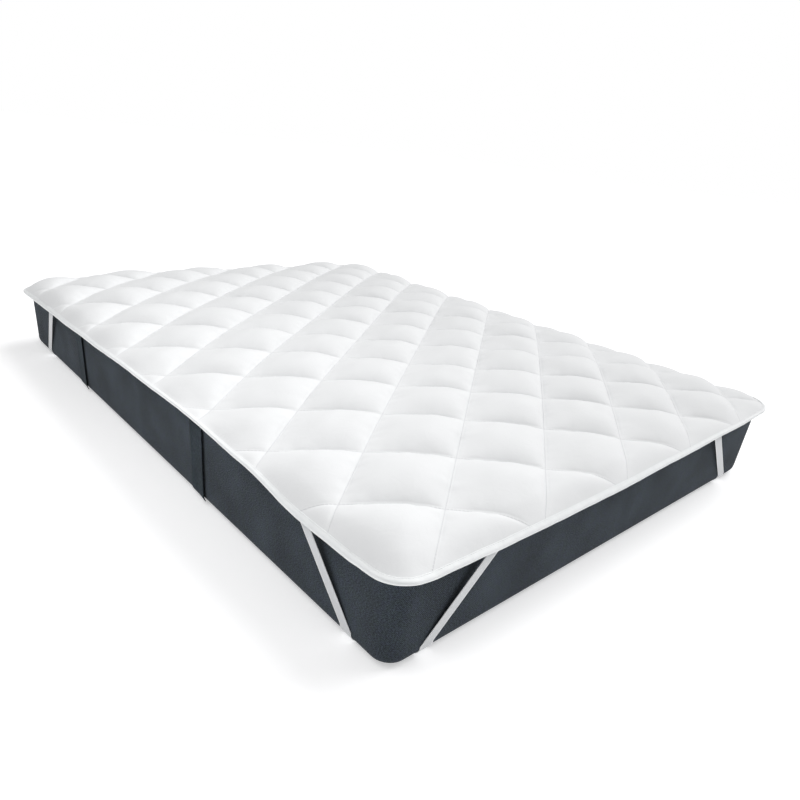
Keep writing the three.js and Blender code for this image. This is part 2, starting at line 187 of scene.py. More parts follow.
# The quilted pad
pad = dict(
    overhang=20 * mm,
    cornerRadii=dict(near=50 * mm, right=110 * mm, left=85 * mm, far=90 * mm),
    lift=0.3 * mm,
    edgeLift=3 * mm,
    settleOver=55 * mm,
    rimThickness=4 * mm,
    rimWidth=7.5 * mm,
    seamThickness=4 * mm,
    puffHeight=27 * mm,
    puffFade=111 * mm,
    fadePower=0.65,
    droopPower=1.6,
    halfCellX=140.6 * mm,
    halfCellY=111.3 * mm,
    crossingX=-524 * mm,
    crossingY=-869 * mm,
    linesPerCell=28,
    linesUnderneath=10,
    closerAtSeams=0.3,  # grid lines crowd towards the seams
    loftPower=0.66,
    summitLean=0.45,  # how far each crown stands towards +X -Y
    puffVariation=0.10,  # of the height, from cell to cell
    summitShift=0.18,  # how far that varies from cell to cell
    dentDepth=0.9 * mm,
    dentWaves=12,
    dentLength=85 * mm,
    dentSpread=45 * mm,
    dentSum=3.5,  # the sum of the waves that counts as the full depth
    puckerDepth=0.9 * mm,
    puckerReach=7 * mm,
    puckerLengths=(29 * mm, 41 * mm, 67 * mm),
    puckerStrength=0.45,
    puckerSpread=0.25,
    seed=7,
)

# Height of the middle of the rim in mm along each side, measured from the side's first corner
rimHeights = dict(
    left=[(0, 193), (60, 187.5), (90, 184.5), (224, 183), (408, 200.5), (638, 208), (936, 201.5),
          (1226, 191.5), (1464, 184.5), (1900, 176)],
    near=[(0, 193), (68, 185), (158, 183.5), (218, 180.5), (389, 179), (583, 179), (819, 185.5),
          (1118, 193.5), (1400, 205)],
    right=[(0, 205), (230, 192), (700, 196), (1250, 190), (1670, 182), (1900, 186)],
    far=[(0, 176), (230, 180), (520, 190), (900, 188), (1170, 180), (1400, 186)],
)


# Distance from points to a rounded rectangle, negative inside it
def outlineDistance(x, y, halfX, halfY, radius):
    dx = np.abs(x) - (halfX - radius)
    dy = np.abs(y) - (halfY - radius)
    outside = np.hypot(np.maximum(dx, 0), np.maximum(dy, 0))
    return outside + np.minimum(np.maximum(dx, dy), 0) - radius


# Which of four corner radii holds for each point
def radiusAt(radii, x, y):
    towardsNear = np.where(x < 0, radii["near"], radii["right"])
    towardsFar = np.where(x < 0, radii["left"], radii["far"])
    return np.where(y < 0, towardsNear, towardsFar)


def ringDistance(x, y, inset):
    turned = radiusAt(bed["cornerRadii"], x, y) - np.minimum(inset, bed["edgeRadius"])
    grown = bed["domeCornerGrowth"] * np.maximum(inset - bed["edgeRadius"], 0)
    halfX, halfY = bed["width"] / 2, bed["length"] / 2
    return outlineDistance(x, y, halfX - inset, halfY - inset, turned + grown)


# How far inside the mattress faces points lie, by the rings of the dome
def insetAt(x, y):
    low = np.zeros_like(x)
    high = np.full_like(x, bed["domeReach"] + bed["edgeRadius"])
    for _ in range(20):
        middle = (low + high) / 2
        beyond = ringDistance(x, y, middle) > 0
        high = np.where(beyond, middle, high)
        low = np.where(beyond, low, middle)
    outside = ringDistance(x, y, 0.0)
    return np.where(outside > 0, -outside, low)


# How far the corner that sags lies below the rest
def sagAt(x, y):
    away = np.hypot(bed["width"] / 2 + x, bed["length"] / 2 - y)
    return bed["sagDepth"] * np.maximum(1 - away / bed["sagReach"], 0) ** 2


def domeAt(inset):
    share = np.clip((inset - bed["edgeRadius"]) / bed["domeReach"], 0, 1)
    return bed["sideHeight"] + bed["domeHeight"] * (1 - (1 - share) ** 2)


def rimRow(rows, along):
    alongs, heights = np.array(rows, dtype=float).T * mm
    index = np.clip(np.searchsorted(alongs, along, side="right") - 1, 0, len(rows) - 2)
    share = np.clip((along - alongs[index]) / (alongs[index + 1] - alongs[index]), 0, 1)
    share = share * share * (3 - 2 * share)
    return heights[index] * (1 - share) + heights[index + 1] * share


# Rim height seen from any point, weighing each side by how near it is
def rimHeightAt(x, y):
    halfX, halfY = bed["width"] / 2, bed["length"] / 2
    sides = [
        (rimHeights["left"], halfX + x, halfY + y),
        (rimHeights["right"], halfX - x, halfY + y),
        (rimHeights["near"], halfY + y, halfX + x),
        (rimHeights["far"], halfY - y, halfX + x),
    ]
    total = 0
    weights = 0
    for rows, away, along in sides:
        weight = 1 / np.maximum(away + 2 * pad["overhang"], mm) ** 4
        total = total + weight * rimRow(rows, along)
        weights = weights + weight
    return total / weights


padHalfX = bed["width"] / 2 + pad["overhang"]
padHalfY = bed["length"] / 2 + pad["overhang"]


def padInsetAt(x, y):
    return -outlineDistance(x, y, padHalfX, padHalfY, radiusAt(pad["cornerRadii"], x, y))


# Underside of the pad: on the dome, then clear of the turned edge and down to the rim
def padUnderAt(x, y):
    inset = insetAt(x, y)
    settled = np.clip((inset - bed["edgeRadius"]) / pad["settleOver"], 0, 1)
    sag = sagAt(x, y)
    onDome = domeAt(inset) - sag + pad["edgeLift"] + (pad["lift"] - pad["edgeLift"]) * settled
    leave = bed["sideHeight"] + pad["edgeLift"] - sag
    fromDome = np.maximum(bed["edgeRadius"] - inset, 0)
    share = fromDome / np.maximum(fromDome + np.maximum(padInsetAt(x, y), 0), 1e-9)
    drop = leave - (rimHeightAt(x, y) - pad["rimThickness"] / 2)
    return np.where(inset >= bed["edgeRadius"], onDome, leave - drop * share ** pad["droopPower"])


# Cell coordinates: whole numbers are seams
def cellPlace(x, y):
    u = (x - pad["crossingX"]) / pad["halfCellX"] / 2
    v = (y - pad["crossingY"]) / pad["halfCellY"] / 2
    return u - v, u + v


def loft(share, power):
    return (1 - (1 - np.clip(share, 0, 1)) ** 2) ** power


cellSide = math.hypot(pad["halfCellX"], pad["halfCellY"])
seamSpacing = 2 * pad["halfCellX"] * pad["halfCellY"] / cellSide

# Kinds of chance: 0 and 1 shift the crowns, 2 varies their height, 3 and 4 are for the puckers
# along the two sets of seams and 5 for the dents
kindsOfChance = 8
rowsOfChance = 64
chance = np.random.RandomState(pad["seed"]).uniform(
    -1, 1, (kindsOfChance, rowsOfChance, rowsOfChance))


# A steady random number from -1 to 1 for each pair of whole numbers
def chanceAt(kind, first, second=0):
    first = np.asarray(first).astype(int) % rowsOfChance
    second = np.asarray(second).astype(int) % rowsOfChance
    return chance[kind][first, second]


# Puckers that the thread draws into the cloth beside a seam. Each seam has its own phases, from
# the first columns of chance, and strengths, from later ones.
def puckersAt(across, along, kind):
    seam = np.round(across)
    away = np.abs(across - seam) * seamSpacing
    ripple = 0
    for k, wave in enumerate(pad["puckerLengths"]):
        turns = along * cellSide / wave + chanceAt(kind, seam, k) * 3
        strength = pad["puckerStrength"] + pad["puckerSpread"] * chanceAt(kind, seam, k + 9)
        ripple = ripple + np.sin(2 * math.pi * turns) * strength
    reach = away / pad["puckerReach"]
    betweenCrossings = loft(1 - np.abs(2 * (along - np.floor(along)) - 1), pad["loftPower"])
    return pad["puckerDepth"] * ripple * reach * np.exp(1 - reach) * betweenCrossings


# Broad dents in the filling: waves whose direction, length and phase are left to chance
def dentsAt(x, y):
    total = 0
    for direction, stretch, phase in chance[5, :pad["dentWaves"], :3]:
        angle = math.pi * direction
        wave = pad["dentLength"] + pad["dentSpread"] * stretch
        place = (x * math.cos(angle) + y * math.sin(angle)) / wave + phase
        total = total + np.sin(2 * math.pi * place)
    return pad["dentDepth"] * total / pad["dentSum"]


def puffAt(x, y):
    p, q = cellPlace(x, y)
    column, row = np.floor(p), np.floor(q)
    s, t = p - column, q - row
    s = s + (pad["summitShift"] * chanceAt(0, column, row) - pad["summitLean"]) * s * (1 - s)
    t = t + pad["summitShift"] * chanceAt(1, column, row) * t * (1 - t)
    power = pad["loftPower"]
    full = loft(1 - np.abs(2 * s - 1), power) * loft(1 - np.abs(2 * t - 1), power)
    rim = loft((padInsetAt(x, y) - pad["rimWidth"]) / pad["puffFade"], pad["fadePower"])
    height = pad["puffHeight"] * (1 + pad["puffVariation"] * chanceAt(2, column, row))
    relief = dentsAt(x, y) * full + puckersAt(p, q, 3) + puckersAt(q, p, 4)
    return (height * full + relief) * rim


def padTopAt(x, y):
    inner = np.clip((padInsetAt(x, y) - pad["rimWidth"]) / pad["puffFade"], 0, 1)
    thickness = pad["rimThickness"] + (pad["seamThickness"] - pad["rimThickness"]) * inner
    return padUnderAt(x, y) + thickness + puffAt(x, y)


def wholeMesh(bm):
    return bm.verts[:] + bm.edges[:] + bm.faces[:]


# Cuts a mesh, or some of it, along a plane and may clear away what lies beyond
def cutAlong(bm, geometry, point, normal, clear=False):
    bmesh.ops.bisect_plane(
        bm, geom=geometry, dist=1e-6, plane_co=point, plane_no=normal, clear_outer=clear)


# Grid whose lines run along the seams, cut to the outline of the pad
def cutQuiltedCloth(linesPerCell, crowding):
    cornersX = np.array([-padHalfX, padHalfX, padHalfX, -padHalfX])
    cornersY = np.array([-padHalfY, -padHalfY, padHalfY, padHalfY])
    p, q = cellPlace(cornersX, cornersY)
    firstP, lastP = math.floor(p.min()), math.ceil(p.max())
    firstQ, lastQ = math.floor(q.min()), math.ceil(q.max())
    bm = bmesh.new()
    bmesh.ops.create_grid(
        bm, x_segments=(lastP - firstP) * linesPerCell, y_segments=(lastQ - firstQ) * linesPerCell,
        size=1)
    for vert in bm.verts:
        place = []
        for at, first, last in ((vert.co.x, firstP, lastP), (vert.co.y, firstQ, lastQ)):
            cell = first + (at + 1) / 2 * (last - first)
            cell -= crowding * math.sin(2 * math.pi * cell) / (2 * math.pi)
            place.append(cell)
        vert.co.x = pad["crossingX"] + pad["halfCellX"] * (place[0] + place[1])
        vert.co.y = pad["crossingY"] + pad["halfCellY"] * (place[1] - place[0])
        vert.co.z = 0
    for side in (-1, 1):
        cutAlong(bm, wholeMesh(bm), (side * padHalfX, 0, 0), (side, 0, 0), clear=True)
        cutAlong(bm, wholeMesh(bm), (0, side * padHalfY, 0), (0, side, 0), clear=True)
    for sideX in (-1, 1):
        for sideY in (-1, 1):
            radius = float(radiusAt(pad["cornerRadii"], sideX, sideY))
            centre = Vector((sideX * (padHalfX - radius), sideY * (padHalfY - radius), 0))
            reach = 1.5 * radius
            for degrees in range(10, 90, 10):
                angle = math.radians(degrees)
                normal = Vector((sideX * math.cos(angle), sideY * math.sin(angle), 0))
                corner = [f for f in bm.faces
                          if f.calc_center_median().x * sideX > padHalfX - reach
                          and f.calc_center_median().y * sideY > padHalfY - reach]
                edges = list(dict.fromkeys(e for f in corner for e in f.edges))
                verts = list(dict.fromkeys(v for f in corner for v in f.verts))
                cutAlong(bm, verts + edges + corner, centre + normal * radius, normal, clear=True)
    bmesh.ops.remove_doubles(bm, verts=bm.verts[:], dist=0.4 * mm)
    return bm


def liftCloth(bm, heightAt):
    x = np.array([vert.co.x for vert in bm.verts])
    y = np.array([vert.co.y for vert in bm.verts])
    for vert, z in zip(bm.verts, heightAt(x, y)):
        vert.co.z = z


def makePad(material):
    bm = cutQuiltedCloth(pad["linesPerCell"], pad["closerAtSeams"])
    liftCloth(bm, padTopAt)
    under = cutQuiltedCloth(pad["linesUnderneath"], 0)
    liftCloth(under, padUnderAt)
    bmesh.ops.reverse_faces(under, faces=under.faces[:])
    joined = bpy.data.meshes.new("underside")
    under.to_mesh(joined)
    under.free()
    bm.from_mesh(joined)
    bpy.data.meshes.remove(joined)
    rims = [edge for edge in bm.edges if edge.is_boundary]
    bmesh.ops.bridge_loops(bm, edges=rims)
    bmesh.ops.triangulate(bm, faces=[f for f in bm.faces if len(f.verts) > 4])
    bmesh.ops.recalc_face_normals(bm, faces=bm.faces[:])
    seams = bm.loops.layers.uv.new("seams")
    for face in bm.faces:
        for loop in face.loops:
            loop[seams].uv = cellPlace(loop.vert.co.x, loop.vert.co.y)
    piece = finishPiece(bm, "quiltedPad", material, "pad")


# Brushed microfibre with a polyester filling: white, matt, with a faint silky bloom at the slopes,
# and painted shade darkening the grooves along the seams
def makeQuiltedCloth():
    material, surface = newMaterial("brushed_microfibre", {
        "Roughness": 0.82,
        "IOR": 1.46,
        "Sheen Weight": 0.25,
        "Sheen Roughness": 0.45,
    })
    # Lengths in mm, the gaps between stitches as shares of a stitch; the seam colour is painted
    # shade for the seam grooves
    look = dict(cloth="#e8e9ea", shade="#e2e3e4", seam="#dadbdd", grooveWidth=1.6,
                stitchLength=7.0, gapCore=0.08, gapEdge=0.2)
    _, columns, rows = uvPlace(material, "seams")
    seamLinesAndShade = []
    stitches = []
    for across, along in ((columns, rows), (rows, columns)):
        nearest = calculate(material, "PINGPONG", across, 0.5)
        away = calculate(material, "MULTIPLY", nearest, seamSpacing / mm)
        seamLineAndShade = smoothShare(material, away, 0.0, look["grooveWidth"], falling=True)
        count = calculate(material, "MULTIPLY", along, cellSide / mm / look["stitchLength"])
        pulse = calculate(material, "PINGPONG", count, 0.5)
        dash = smoothShare(material, pulse, look["gapCore"], look["gapEdge"])
        seamLinesAndShade.append(seamLineAndShade)
        stitches.append(calculate(material, "MULTIPLY", seamLineAndShade, dash))
    seamLineAndShade = calculate(material, "MAXIMUM", *seamLinesAndShade)
    sewn = calculate(material, "MAXIMUM", *stitches)
    place = addNode(material, "ShaderNodeTexCoord").outputs["Object"]
    mottle = addNoise(material, place, "3D", Scale=14.0, Detail=3.0)
    creases = addNoise(material, place, "3D", Scale=55.0, Detail=4.0, Distortion=0.8)
    weave = addNoise(material, place, "3D", Scale=900.0, Detail=1.0)
    tone = blend(material, mottle, look["cloth"], look["shade"])
    # Painted shade: the colour darkens towards the seam colour along each seam's groove line
    colour = blend(material, seamLineAndShade, tone, look["seam"])
    creased = addRelief(material, creases, 0.35, 1.2 * mm)
    woven = addRelief(material, weave, 0.25, 0.3 * mm, creased)
    thread = addRelief(material, sewn, 0.6, 1.0 * mm, woven, invert=True)
    joinSurface(material, surface, Base_Color=colour, Normal=thread)
    return material


makePad(makeQuiltedCloth())

# Binding: a tape folded over the rim and sewn down
binding = dict(
    thickness=1.2 * mm,
    reach=6.5 * mm,
    slot=2.9 * mm,  # half the space between the legs of the fold
    nose=2 * mm,
    legShare=0.36,  # of the steps across, for each leg
    ripple=0.35 * mm,
    rippleWaves=(75, 124, 33),  # whole numbers round the outline
    stepsRound=1100,
    stepsAcross=14,
    flatWidth=23.5 * mm,
    flatLength=6620 * mm,
)


# Points on the rounded outline of the pad with their outward directions
def outlineAt(share):
    corners = [(1, 1, "far"), (-1, 1, "left"), (-1, -1, "near"), (1, -1, "right")]
    legs = []
    for k, (signX, signY, name) in enumerate(corners):
        radius, lastRadius = pad["cornerRadii"][name], pad["cornerRadii"][corners[k - 1][2]]
        side = padHalfX if k % 2 else padHalfY
        centre = Vector((signX * (padHalfX - radius), signY * (padHalfY - radius)))
        legs.append((2 * side - radius - lastRadius, 0, k, centre, radius))
        legs.append((math.pi / 2 * radius, 1, k, centre, radius))
    along = share * sum(leg[0] for leg in legs)
    for length, isArc, k, centre, radius in legs:
        if along <= length:
            break
        along -= length
    turned = math.radians(90 * k) + (along / radius if isArc else 0)
    out = Vector((math.cos(turned), math.sin(turned)))
    forward = Vector((-out.y, out.x))
    return centre + out * radius - forward * (0 if isArc else length - along), out


def makeBinding(material):
    steps, legShare = binding["stepsRound"], binding["legShare"]
    bm = bmesh.new()
    bmesh.ops.create_grid(bm, x_segments=steps, y_segments=binding["stepsAcross"], size=1)
    spots = [outlineAt(k / steps % 1) for k in range(steps + 1)]
    x = np.array([spot[0].x for spot in spots])
    y = np.array([spot[0].y for spot in spots])
    inX = x - np.array([spot[1].x for spot in spots]) * pad["rimWidth"]
    inY = y - np.array([spot[1].y for spot in spots]) * pad["rimWidth"]
    under = padUnderAt(x, y)
    slope = (padUnderAt(inX, inY) - under) / pad["rimWidth"]
    level = under + pad["rimThickness"] / 2
    legHeight = binding["slot"] + binding["thickness"] / 2
    tape = bm.loops.layers.uv.new("tape")
    places = {}
    for vert in bm.verts:
        k = round((vert.co.x + 1) / 2 * steps)
        share = (vert.co.y + 1) / 2
        places[vert] = (k / steps * binding["flatLength"], share * binding["flatWidth"])
        fromEdge = min(share, 1 - share)
        if fromEdge < legShare:
            out = -binding["reach"] * (1 - fromEdge / legShare)
            up = legHeight if share < 0.5 else -legHeight
        else:
            fold = math.pi * (share - legShare) / (1 - 2 * legShare)
            out = binding["nose"] * math.sin(fold)
            up = legHeight * math.cos(fold)
        around = 2 * math.pi * k / steps
        waves = [math.sin(count * around + n) for n, count in enumerate(binding["rippleWaves"])]
        up += binding["ripple"] * sum(waves) / len(waves) * fromEdge / legShare
        spot, outward = spots[k]
        vert.co = (spot.x + outward.x * out, spot.y + outward.y * out,
                   level[k] - out * slope[k] + up)
    for face in bm.faces:
        for loop in face.loops:
            loop[tape].uv = places[loop.vert]
    bmesh.ops.remove_doubles(bm, verts=bm.verts[:], dist=0.01 * mm)
    bmesh.ops.recalc_face_normals(bm, faces=bm.faces[:])
    bmesh.ops.solidify(bm, geom=bm.faces[:], thickness=binding["thickness"])
    bmesh.ops.recalc_face_normals(bm, faces=bm.faces[:])
    piece = finishPiece(bm, "bindingTape", material, "binding")


# Woven polyester tape: a cooler white than the pad, with fine ribs across and one row of stitches
def makeTapeCloth():
    material, surface = newMaterial("woven_polyester_tape", {
        "Roughness": 0.7,
        "IOR": 1.46,
        "Sheen Weight": 0.2,
        "Sheen Roughness": 0.4,
    })
    # Lengths in mm
    look = dict(tape="#f2f4f4", shade="#e8eaeb", rib=1.8, stitchInset=2.0, stitchWidth=1.1,
                stitchLength=6.0, gapCore=0.3, gapEdge=1.0)
    place, along, across = uvPlace(material, "tape")
    ribs = calculate(material, "MULTIPLY", along, 2 * math.pi / (look["rib"] * mm))
    wave = calculate(material, "SINE", ribs)
    gathers = addNoise(material, place, "2D", Scale=60.0, Detail=2.0)
    colour = blend(material, gathers, look["tape"], look["shade"])
    fromEdge = calculate(material, "PINGPONG", across, binding["flatWidth"] / 2)
    beyondLine = calculate(material, "SUBTRACT", fromEdge, look["stitchInset"] * mm)
    fromLine = calculate(material, "ABSOLUTE", beyondLine)
    onLine = smoothShare(material, fromLine, 0.0, look["stitchWidth"] * mm, falling=True)
    pulse = calculate(material, "PINGPONG", along, look["stitchLength"] * mm / 2)
    dash = smoothShare(material, pulse, look["gapCore"] * mm, look["gapEdge"] * mm)
    sewn = calculate(material, "MULTIPLY", onLine, dash)
    gathered = addRelief(material, gathers, 0.5, 1.5 * mm)
    woven = addRelief(material, wave, 0.2, 0.15 * mm, gathered)
    thread = addRelief(material, sewn, 0.7, 0.8 * mm, woven, invert=True)
    joinSurface(material, surface, Base_Color=colour, Normal=thread)
    return material


makeBinding(makeTapeCloth())

# Elastic straps, one across each corner. Along is measured from the corner of the bed in mm.
elastic = dict(
    width=25 * mm,
    thickness=1.2 * mm,
    bedGap=0.5 * mm,
    floorGap=0.3 * mm,
    turns=(0, 11, 22, 33, 44, 55),
    belowRim=3.8 * mm,  # from the underside of the pad to the middle of the elastic
    flapStart=4 * mm,
    flapEnd=16 * mm,
    stepsAcross=8,
    stepsEach=6,
)
straps = [
    dict(name="strap_near", signX=-1, signY=-1, rimX=203, floorX=87, rimY=216, floorY=104),
    dict(name="strap_right", signX=1, signY=-1, rimX=351, floorX=170, rimY=351, floorY=170),
    dict(name="strap_left", signX=-1, signY=1, rimX=331, floorX=198, rimY=331, floorY=198),
    dict(name="strap_far", signX=1, signY=1, rimX=320, floorX=170, rimY=320, floorY=170),
]


# Stations of one leg, from its sewn end down the face and under the edge: inner and outer points
def strapLeg(strap, alongY):
    rim = strap["rimY" if alongY else "rimX"] * mm
    floor = strap["floorY" if alongY else "floorX"] * mm
    halfX, halfY = bed["width"] / 2, bed["length"] / 2

    def place(along, inset, z):
        if alongY:
            return Vector((strap["signX"] * (halfX - inset), strap["signY"] * (halfY - along), z))
        return Vector((strap["signX"] * (halfX - along), strap["signY"] * (halfY - inset), z))

    def station(along, half, inset, z):
        return place(along + half, inset, z), place(along - half, inset, z)

    def underRim(padInset):
        spot = place(rim, padInset - pad["overhang"], 0)
        return float(padUnderAt(np.array([spot.x]), np.array([spot.y]))[0]) - elastic["belowRim"]

    edge = bed["edgeRadius"]
    lean = math.atan2(rim - floor, bed["sideHeight"] - edge)
    half = elastic["width"] / 2 / math.cos(lean)
    halfUnder = elastic["width"] / 2 / math.cos(math.pi / 4)
    radius = edge + elastic["bedGap"] + elastic["thickness"] / 2
    stations = [
        station(rim, half, padInset - pad["overhang"], underRim(padInset))
        for padInset in (elastic["flapEnd"], elastic["flapStart"])
    ]
    for angle in elastic["turns"]:
        turned = math.radians(angle)
        inset, z = edge - radius * math.cos(turned), edge - radius * math.sin(turned)
        stations.append(station(floor, half, inset, z))
    stations.append(
        station(floor, halfUnder, edge, elastic["floorGap"] + elastic["thickness"] / 2))
    return stations


def strapStations(strap):
    return strapLeg(strap, True) + strapLeg(strap, False)[::-1]


# Gives a strip of faces its thickness, half of it on either side
def thickenBand(bm, thickness):
    bmesh.ops.recalc_face_normals(bm, faces=bm.faces[:])
    bm.normal_update()
    for vert in bm.verts:
        vert.co -= vert.normal * (thickness / 2)
    bmesh.ops.solidify(bm, geom=bm.faces[:], thickness=-thickness)
    bmesh.ops.recalc_face_normals(bm, faces=bm.faces[:])


def makeStrap(strap, material):
    stations = strapStations(strap)
    middles = [(inner + outer) / 2 for inner, outer in stations]
    gaps = [(b - a).length for a, b in zip(middles, middles[1:])]
    each, across = elastic["stepsEach"], elastic["stepsAcross"]
    count = (len(stations) - 1) * each
    bm = bmesh.new()
    bmesh.ops.create_grid(bm, x_segments=count, y_segments=across, size=1)
    band = bm.loops.layers.uv.new("band")
    spots = {}
    for vert in bm.verts:
        step = round((vert.co.x + 1) / 2 * count)
        share = (vert.co.y + 1) / 2
        k = min(step // each, len(stations) - 2)
        between = step / each - k
        inner = stations[k][0].lerp(stations[k + 1][0], between)
        outer = stations[k][1].lerp(stations[k + 1][1], between)
        spots[vert] = (sum(gaps[:k]) + gaps[k] * between, share)
        vert.co = inner.lerp(outer, share)
    for face in bm.faces:
        for loop in face.loops:
            loop[band].uv = spots[loop.vert]
    thickenBand(bm, elastic["thickness"])
    corner = strap["name"].split("_")[1]
    piece = finishPiece(bm, "elastic" + corner.title(), material, strap["name"])


# Woven elastic: white polyester over rubber, fine cords lengthwise and brighter edges, with painted
# shade darkening the hollows between cords and picks
def makeElasticCloth():
    material, surface = newMaterial("woven_elastic", {
        "Roughness": 0.6,
        "IOR": 1.48,
        "Sheen Weight": 0.15,
        "Sheen Roughness": 0.4,
    })
    # Cords and picks in mm, the edge as a share of the width
    look = dict(band="#dcdddf", hollowShade="#c8cacc", edge="#eeeff0", cord=2.8, pick=2.2, pickShow=0.4,
                edgeWidth=0.1)
    _, along, across = uvPlace(material, "band")
    cordTurns = 2 * math.pi * elastic["width"] / mm / look["cord"]
    cords = calculate(material, "MULTIPLY", across, cordTurns)
    cordWave = calculate(material, "SINE", cords)
    picks = calculate(material, "MULTIPLY", along, 2 * math.pi / mm / look["pick"])
    pickWave = calculate(material, "SINE", picks)
    height = calculate(material, "MULTIPLY_ADD", pickWave, look["pickShow"], cordWave)
    top = 1 + look["pickShow"]
    shade = addNode(material, "ShaderNodeMapRange", None,
                    {"Value": height, "From Min": -top, "From Max": top})
    # Painted shade: the lower the weave, the nearer its colour comes to the darker hollow shade
    colour = blend(material, shade.outputs[0], look["hollowShade"], look["band"])
    fromEdge = calculate(material, "PINGPONG", across, 0.5)
    nearEdge = smoothShare(material, fromEdge, look["edgeWidth"] / 2, look["edgeWidth"],
                           falling=True)
    edged = blend(material, nearEdge, colour, look["edge"])
    woven = addRelief(material, height, 0.4, 0.25 * mm)
    joinSurface(material, surface, Base_Color=edged, Normal=woven)
    return material


# Knit of black, slate and teal-grey yarns: slanting or upright ribs, drawn coarse enough to show,
# over flecks, clouds and a mottle of the yarns. On the handle bands the darker yarns and strong
# upright ribs are partly painted shade. rib and breakBy are in mm.
def makeKnit(name, look):
    material, surface = newMaterial(name, {
        "Roughness": 0.95,
        "IOR": 1.45,
        "Specular IOR Level": 0.15,
        "Sheen Weight": 0.04,
        "Sheen Roughness": 0.5,
    })
    place, along, up = uvPlace(material, "knit")
    slanted = calculate(material, "MULTIPLY_ADD", up, look["slant"], along)
    breaks = addNoise(material, place, "2D", Scale=look["breakScale"], Detail=1.0)
    wandering = calculate(material, "MULTIPLY_ADD", breaks, look["breakBy"] * mm, slanted)
    turns = calculate(material, "MULTIPLY", wandering, 2 * math.pi / mm / look["rib"])
    ribs = calculate(material, "SINE", turns)
    stretched = addNode(material, "ShaderNodeMapping", None,
                        {"Vector": place, "Rotation": (0.0, 0.0, look["fleckTurn"]),
                         "Scale": look["fleckScale"]}).outputs[0]
    flecks = addNoise(material, stretched, "2D", Scale=1.0, Detail=2.0, Roughness=0.7)
    mottle = addNoise(material, place, "2D", Scale=look["mottleScale"], Detail=4.0, Roughness=0.65)
    clouds = addNoise(material, place, "2D", Scale=9.0, Detail=2.0)
    ribbed = calculate(material, "MULTIPLY_ADD", ribs, look["ribShow"], flecks)
    clouded = calculate(material, "MULTIPLY_ADD", clouds, look["cloudShow"], ribbed)
    yarn = smoothShare(material, clouded, look["darkest"], look["palest"])
    slateBelow, tealAbove = 0.38, 0.62
    hue = smoothShare(material, mottle, slateBelow, tealAbove)
    pale = blend(material, hue, look["slate"], look["teal"])
    colour = blend(material, yarn, look["dark"], pale)
    ridged = addRelief(material, ribs, 0.5, 0.3 * mm)
    fuzz = addRelief(material, flecks, 0.5, 0.5 * mm, ridged)
    joinSurface(material, surface, Base_Color=colour, Normal=fuzz)
    return material


mattressLook = dict(
    dark="#191b1d", slate="#4b535f", teal="#4a545a", rib=3.0, slant=0.8, ribShow=0.1,
    breakScale=160.0, breakBy=2.5, fleckTurn=0.85, fleckScale=(300.0, 640.0, 1.0),
    mottleScale=70.0, cloudShow=0.25, darkest=0.3, palest=0.95,
)
mattressBuild = dict(
    cornerSegments=10,
    edgeSegments=7,
    gridStep=45 * mm,
    levels=5,
    troughClearance=0.4 * mm,
)


# Distance round the mattress from the middle of its left face
def roundMattress(x, y):
    radius = float(radiusAt(bed["cornerRadii"], x, y))
    straightX, straightY = bed["width"] / 2 - radius, bed["length"] / 2 - radius
    dx, dy = abs(x) - straightX, abs(y) - straightY
    if dx > 0 and dy > 0:
        along = straightY + radius * math.atan2(dy, dx)
    elif dx > dy:
        along = abs(y)
    else:
        along = straightY + radius * math.pi / 2 + straightX - abs(x)
    if x > 0:
        along = bed["width"] + bed["length"] - along
    return along if y < 0 else -along


def bevelEdges(bm, edges, radius, segments):
    bmesh.ops.bevel(bm, geom=edges, offset=radius, segments=segments, affect="EDGES", profile=0.5,
                    material=-1, offset_type="OFFSET")


def makeMattress(material):
    halfX, halfY, height = bed["width"] / 2, bed["length"] / 2, bed["sideHeight"]
    bm = bmesh.new()
    bmesh.ops.create_cube(bm, size=1)
    bmesh.ops.scale(bm, vec=(2 * halfX, 2 * halfY, height), verts=bm.verts[:])
    bmesh.ops.translate(bm, vec=(0, 0, height / 2), verts=bm.verts[:])
    for sideX in (-1, 1):
        for sideY in (-1, 1):
            upright = [e for e in bm.edges if all(
                v.co.x * sideX > halfX - mm and v.co.y * sideY > halfY - mm for v in e.verts)]
            radius = float(radiusAt(bed["cornerRadii"], sideX, sideY))
            bevelEdges(bm, upright, radius, mattressBuild["cornerSegments"])
    level = [e for e in bm.edges if abs(e.verts[0].co.z - e.verts[1].co.z) < mm]
    bevelEdges(bm, level, bed["edgeRadius"], mattressBuild["edgeSegments"])
    for half, axis in ((halfX, 0), (halfY, 1)):
        reach = half - max(bed["cornerRadii"].values())
        count = math.ceil(2 * reach / mattressBuild["gridStep"])
        for k in range(count + 1):
            point, normal = [0, 0, 0], [0, 0, 0]
            point[axis], normal[axis] = -reach + 2 * reach * k / count, 1
            cutAlong(bm, wholeMesh(bm), point, normal)
    levels = mattressBuild["levels"]
    for k in range(1, levels + 1):
        z = bed["edgeRadius"] + (height - 2 * bed["edgeRadius"]) * k / (levels + 1)
        cutAlong(bm, wholeMesh(bm), (0, 0, z), (0, 0, 1))
    x = np.array([vert.co.x for vert in bm.verts])
    y = np.array([vert.co.y for vert in bm.verts])
    for vert, crown, sag in zip(bm.verts, domeAt(insetAt(x, y)) - height, sagAt(x, y)):
        if vert.co.z > height - mm:
            vert.co.z += crown
        if vert.co.z > height / 2:
            vert.co.z -= sag * (vert.co.z / height * 2 - 1)
    knit = bm.loops.layers.uv.new("knit")
    for face in bm.faces:
        flat = abs(face.normal.z) > 0.9
        for loop in face.loops:
            spot = loop.vert.co
            loop[knit].uv = (spot.x, spot.y) if flat else (roundMattress(spot.x, spot.y), spot.z)
    piece = finishPiece(bm, "mattressBody", material, "mattress")
    return piece


